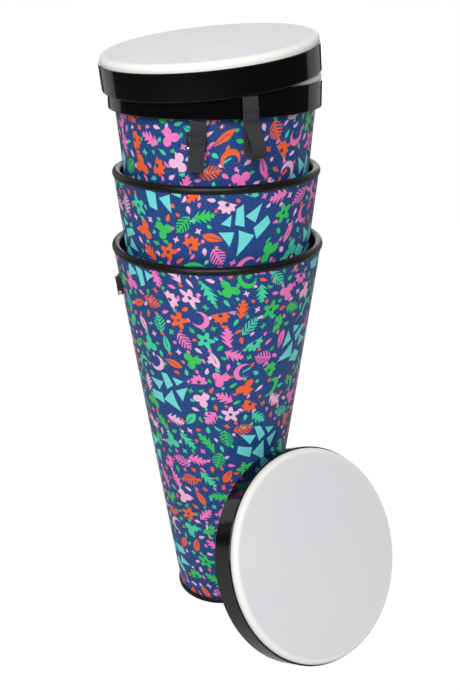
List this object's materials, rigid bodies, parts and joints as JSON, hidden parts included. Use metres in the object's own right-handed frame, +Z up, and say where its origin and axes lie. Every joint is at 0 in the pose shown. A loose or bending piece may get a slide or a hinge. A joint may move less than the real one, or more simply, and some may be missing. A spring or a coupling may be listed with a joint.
{
  "type": "nesting ashiko drum set",
  "caption": "Nesting ashiko drum set: tapered printed shells stand inside one another, with black-ringed heads stacked on top and leaning against the side.",
  "frame": {"origin": "on the floor, on the axis of the largest drum", "axes": "+Z up along the axis of the nested drums; -Y towards the camera of the picture; +X to its right"},
  "size_m": [0.4405, 0.4481, 0.9204],
  "materials": {
    "shell": "dark grey fibre shell, matt inside",
    "print_wrap": "blue heathered cloth with a bright scattered print",
    "black_edge": "satin black round edging",
    "bracket": "black painted casting",
    "bar": "polished chrome",
    "fastener": "plain steel",
    "head_ring": "high-gloss black",
    "head_film": "white coated film",
    "hoop": "mill finish",
    "webbing": "woven charcoal webbing"
  },
  "bodies": {
    "large_drum": {"large_shell": "shell", "large_print_wrap": "print_wrap", "large_rim_edge": "black_edge", "large_foot_ring": "black_edge", "large_hook_brackets": "bracket", "large_hook_bars": "bar", "large_hook_screws": "fastener", "large_backing_plates": "fastener", "large_hook_nuts": "fastener"},
    "medium_drum": {"medium_shell": "shell", "medium_print_wrap": "print_wrap", "medium_rim_edge": "black_edge", "medium_foot_ring": "black_edge", "medium_hook_brackets": "bracket", "medium_hook_bars": "bar", "medium_hook_screws": "fastener", "medium_backing_plates": "fastener", "medium_hook_nuts": "fastener"},
    "small_drum": {"small_shell": "shell", "small_print_wrap": "print_wrap", "small_rim_edge": "black_edge", "small_foot_ring": "black_edge", "small_hook_brackets": "bracket", "small_hook_bars": "bar", "small_hook_screws": "fastener", "small_backing_plates": "fastener", "small_hook_nuts": "fastener"},
    "lower_head": {"lower_head_ring": "head_ring", "lower_head_film": "head_film", "lower_head_hoop": "hoop", "lower_head_strap_tabs": "webbing", "lower_head_rivets": "fastener"},
    "upper_head": {"upper_head_ring": "head_ring", "upper_head_film": "head_film", "upper_head_hoop": "hoop", "upper_head_strap_tabs": "webbing", "upper_head_rivets": "fastener"},
    "leaning_head": {"leaning_head_ring": "head_ring", "leaning_head_film": "head_film", "leaning_head_hoop": "hoop", "leaning_head_strap_tabs": "webbing", "leaning_head_rivets": "fastener"},
    "lower_front_strap": {"lower_head_front_strap": "webbing"},
    "lower_rear_strap": {"lower_head_rear_strap": "webbing"},
    "upper_front_strap": {"upper_head_front_strap": "webbing"},
    "upper_rear_strap": {"upper_head_rear_strap": "webbing"},
    "leaning_top_strap": {"leaning_head_top_strap": "webbing"},
    "leaning_bottom_strap": {"leaning_head_bottom_strap": "webbing"}
  },
  "joints": [
    {"name": "medium_drum_lift", "type": "slide", "parent": "large_drum", "child": "medium_drum", "axis": [0, 0, 1], "range_m": [0, 0.45]},
    {"name": "small_drum_lift", "type": "slide", "parent": "medium_drum", "child": "small_drum", "axis": [0, 0, 1], "range_m": [0, 0.36]},
    {"name": "lower_head_lift", "type": "slide", "parent": "small_drum", "child": "lower_head", "axis": [0, 0, 1], "range_m": [0, 0.12]},
    {"name": "upper_head_lift", "type": "slide", "parent": "lower_head", "child": "upper_head", "axis": [0, 0, 1], "range_m": [0, 0.12]},
    {"name": "leaning_head_slide", "type": "slide", "parent": "large_drum", "child": "leaning_head", "axis": [0.6534, -0.757, 0], "range_m": [0, 0.25]},
    {"name": "lower_front_strap_swing", "type": "hinge", "parent": "lower_head", "child": "lower_front_strap", "pos_m": [-0.02199, -0.14893, 0.81545], "axis": [-0.9893, 0.1461, 0], "range_deg": [0, 80]},
    {"name": "lower_rear_strap_swing", "type": "hinge", "parent": "lower_head", "child": "lower_rear_strap", "pos_m": [0.02199, 0.14893, 0.81545], "axis": [0.9893, -0.1461, 0], "range_deg": [0, 80]},
    {"name": "upper_front_strap_swing", "type": "hinge", "parent": "upper_head", "child": "upper_front_strap", "pos_m": [0.04374, -0.1501, 0.8457], "axis": [-0.9461, -0.3045, -0.1101], "range_deg": [0, 80]},
    {"name": "upper_rear_strap_swing", "type": "hinge", "parent": "upper_head", "child": "upper_rear_strap", "pos_m": [-0.05211, 0.14133, 0.86342], "axis": [0.9461, 0.3045, 0.1101], "range_deg": [0, 80]},
    {"name": "leaning_top_strap_swing", "type": "hinge", "parent": "leaning_head", "child": "leaning_top_strap", "pos_m": [0.07429, -0.08607, 0.29238], "axis": [-0.757, -0.6534, 0], "range_deg": [0, 35]},
    {"name": "leaning_bottom_strap_swing", "type": "hinge", "parent": "leaning_head", "child": "leaning_bottom_strap", "pos_m": [0.16919, -0.19601, 0.00108], "axis": [0.757, 0.6534, 0], "range_deg": [0, 50]}
  ]
}
